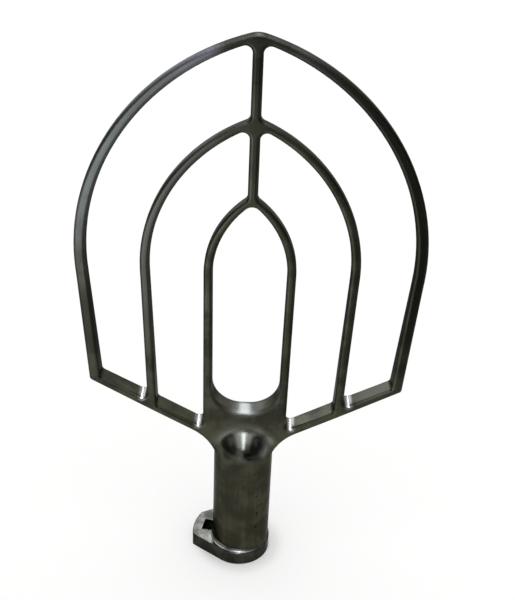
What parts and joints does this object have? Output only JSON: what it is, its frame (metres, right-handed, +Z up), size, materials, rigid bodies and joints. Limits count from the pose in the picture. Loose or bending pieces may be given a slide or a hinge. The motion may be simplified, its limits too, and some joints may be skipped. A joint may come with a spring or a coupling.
{
  "type": "mixer flat beater",
  "caption": "Flat beater for a planetary mixer: nested pointed bows on a spine and raked arms, with a domed hub, blind shaft bore and bayonet lug.",
  "frame": {"origin": "centre of the shaft bore's mouth, on the underside of the hub's foot", "axes": "+Z up along the hub's axis to the paddle's apex, +X across the paddle, +Y back through its depth, towards the side that the bayonet slot turns to"},
  "size_m": [0.1974, 0.0437, 0.3422],
  "materials": {
    "paddle_steel": "polished stainless bar, worn to a dark sheen",
    "hub_steel": "polished stainless, faint lengthwise streaks and small pits",
    "collar_steel": "polished stainless, bright where the drive pin rubs",
    "weld_metal": "weld metal ground flush and polished"
  },
  "bodies": {
    "root": {"outer_bow": "paddle_steel", "middle_bow": "paddle_steel", "inner_bow": "paddle_steel", "upper_spine": "paddle_steel", "lower_spine": "paddle_steel", "left_arm": "paddle_steel", "right_arm": "paddle_steel", "hub_crown": "hub_steel", "hub_barrel": "hub_steel", "bayonet_collar": "collar_steel", "upper_spine_welds": "weld_metal", "lower_spine_welds": "weld_metal", "outer_leg_welds": "weld_metal", "middle_leg_welds": "weld_metal", "inner_leg_welds": "weld_metal", "arm_welds": "weld_metal", "barrel_weld": "weld_metal", "collar_weld": "weld_metal"}
  },
  "joints": []
}
